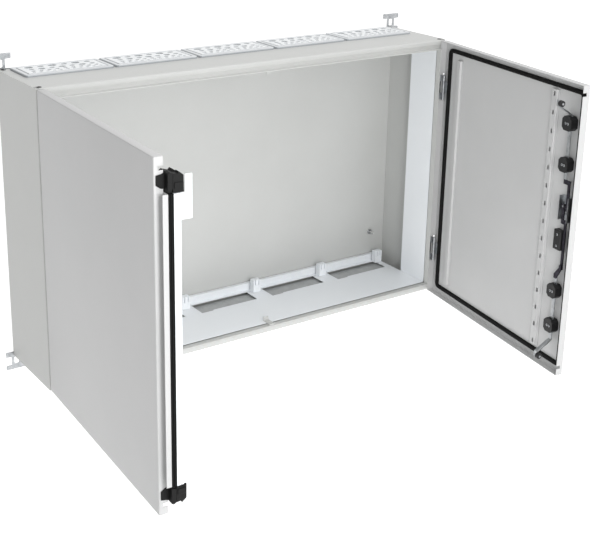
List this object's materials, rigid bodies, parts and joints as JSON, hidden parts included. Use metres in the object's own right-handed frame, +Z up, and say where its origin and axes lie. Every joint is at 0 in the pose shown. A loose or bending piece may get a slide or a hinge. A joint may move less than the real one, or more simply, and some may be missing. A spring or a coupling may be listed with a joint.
{
  "type": "switchboard cabinet",
  "caption": "Wall-mounted two-door switchboard cabinet with cable-entry plates above and below, sealed tray doors and an espagnolette lock with turning handle.",
  "frame": {"origin": "centre of the back panel's outer face", "axes": "+X to the right seen from the front, +Y into the wall, +Z up"},
  "size_m": [1.3552, 0.924, 0.884],
  "materials": {
    "light_grey_powder_coat": "fine-textured powder coat",
    "door_powder_coat": "fine-textured powder coat",
    "white_powder_coat": "smooth white powder coat",
    "white_plastic": "matt moulded plastic",
    "zinc_plated_steel": "bright zinc plating",
    "phosphated_steel": "dark phosphate",
    "black_nylon": "matt moulded nylon",
    "black_rubber": "matt rubber"
  },
  "bodies": {
    "enclosure": {"back_panel": "light_grey_powder_coat", "bottom_flange_1": "white_plastic", "bottom_flange_2": "white_plastic", "bottom_flange_3": "white_plastic", "bottom_flange_4": "white_plastic", "bottom_flange_5": "white_plastic", "bottom_panel": "light_grey_powder_coat", "floor_plate": "white_powder_coat", "front_frame": "light_grey_powder_coat", "left_door_lower_bracket": "zinc_plated_steel", "left_door_upper_bracket": "zinc_plated_steel", "left_lining": "white_powder_coat", "left_side_panel": "light_grey_powder_coat", "lower_left_lug": "zinc_plated_steel", "lower_right_lug": "zinc_plated_steel", "rear_rail": "white_powder_coat", "right_door_lower_bracket": "zinc_plated_steel", "right_door_upper_bracket": "zinc_plated_steel", "right_lining": "white_powder_coat", "right_side_panel": "light_grey_powder_coat", "top_flange_1": "white_plastic", "top_flange_2": "white_plastic", "top_flange_3": "white_plastic", "top_flange_4": "white_plastic", "top_flange_5": "white_plastic", "top_panel": "light_grey_powder_coat", "upper_left_lug": "zinc_plated_steel", "upper_right_lug": "zinc_plated_steel"},
    "left_door": {"left_door_panel": "door_powder_coat", "left_door_seal": "black_rubber", "left_door_stiffener": "door_powder_coat", "left_door_upper_hinge": "zinc_plated_steel", "left_door_lower_hinge": "zinc_plated_steel", "closing_lip": "door_powder_coat", "closing_seal": "black_rubber", "closing_profile": "white_powder_coat", "upper_corner_block": "black_rubber", "lower_corner_block": "black_rubber"},
    "right_door": {"right_door_panel": "door_powder_coat", "right_door_seal": "black_rubber", "right_door_stiffener": "door_powder_coat", "right_door_upper_hinge": "zinc_plated_steel", "right_door_lower_hinge": "zinc_plated_steel", "lock_rail": "door_powder_coat", "rod_guide_1": "black_nylon", "rod_guide_2": "black_nylon", "rod_guide_3": "black_nylon", "rod_guide_4": "black_nylon", "lock_case": "zinc_plated_steel", "lock_cover": "black_nylon", "handle_plate": "black_nylon"},
    "lock_spindle": {"lock_crank": "zinc_plated_steel", "handle_fork": "black_nylon"},
    "handle_lever": {"handle_lever": "black_nylon"},
    "upper_rod": {"upper_rod": "zinc_plated_steel", "upper_link": "phosphated_steel"},
    "lower_rod": {"lower_rod": "zinc_plated_steel", "lower_link": "phosphated_steel"},
    "upper_roller": {"upper_roller": "black_nylon"},
    "lower_roller": {"lower_roller": "black_nylon"}
  },
  "joints": [
    {"name": "left_door_hinge", "type": "hinge", "parent": "enclosure", "child": "left_door", "pos_m": [-0.6385, -0.2655, 0], "axis": [0, 0, -1], "range_deg": [-93, 17]},
    {"name": "right_door_hinge", "type": "hinge", "parent": "enclosure", "child": "right_door", "pos_m": [0.6385, -0.2655, 0], "axis": [0, 0, 1], "range_deg": [-81, 29]},
    {"name": "handle_turn", "type": "hinge", "parent": "right_door", "child": "lock_spindle", "pos_m": [0.55608, -0.85942, 0.062], "axis": [-0.9877, 0.1564, 0], "range_deg": [0, 90]},
    {"name": "handle_lift", "type": "hinge", "parent": "lock_spindle", "child": "handle_lever", "pos_m": [0.57173, -0.85329, 0.062], "axis": [0, 0, -1], "range_deg": [0, 40]},
    {"name": "upper_rod_slide", "type": "slide", "parent": "right_door", "child": "upper_rod", "axis": [0, 0, 1], "range_m": [0, 0.01303]},
    {"name": "lower_rod_slide", "type": "slide", "parent": "right_door", "child": "lower_rod", "axis": [0, 0, -1], "range_m": [0, 0.01303]},
    {"name": "upper_roller_spin", "type": "hinge", "parent": "upper_rod", "child": "upper_roller", "pos_m": [0.50147, -0.84621, 0.348], "axis": [0.1564, 0.9877, 0], "continuous": true},
    {"name": "lower_roller_spin", "type": "hinge", "parent": "lower_rod", "child": "lower_roller", "pos_m": [0.50147, -0.84621, -0.348], "axis": [0.1564, 0.9877, 0], "continuous": true}
  ],
  "couplings": [
    {"joint": "upper_rod_slide", "follows": "handle_turn", "m_per_rad": 0.008283},
    {"joint": "lower_rod_slide", "follows": "handle_turn", "m_per_rad": 0.008283}
  ]
}
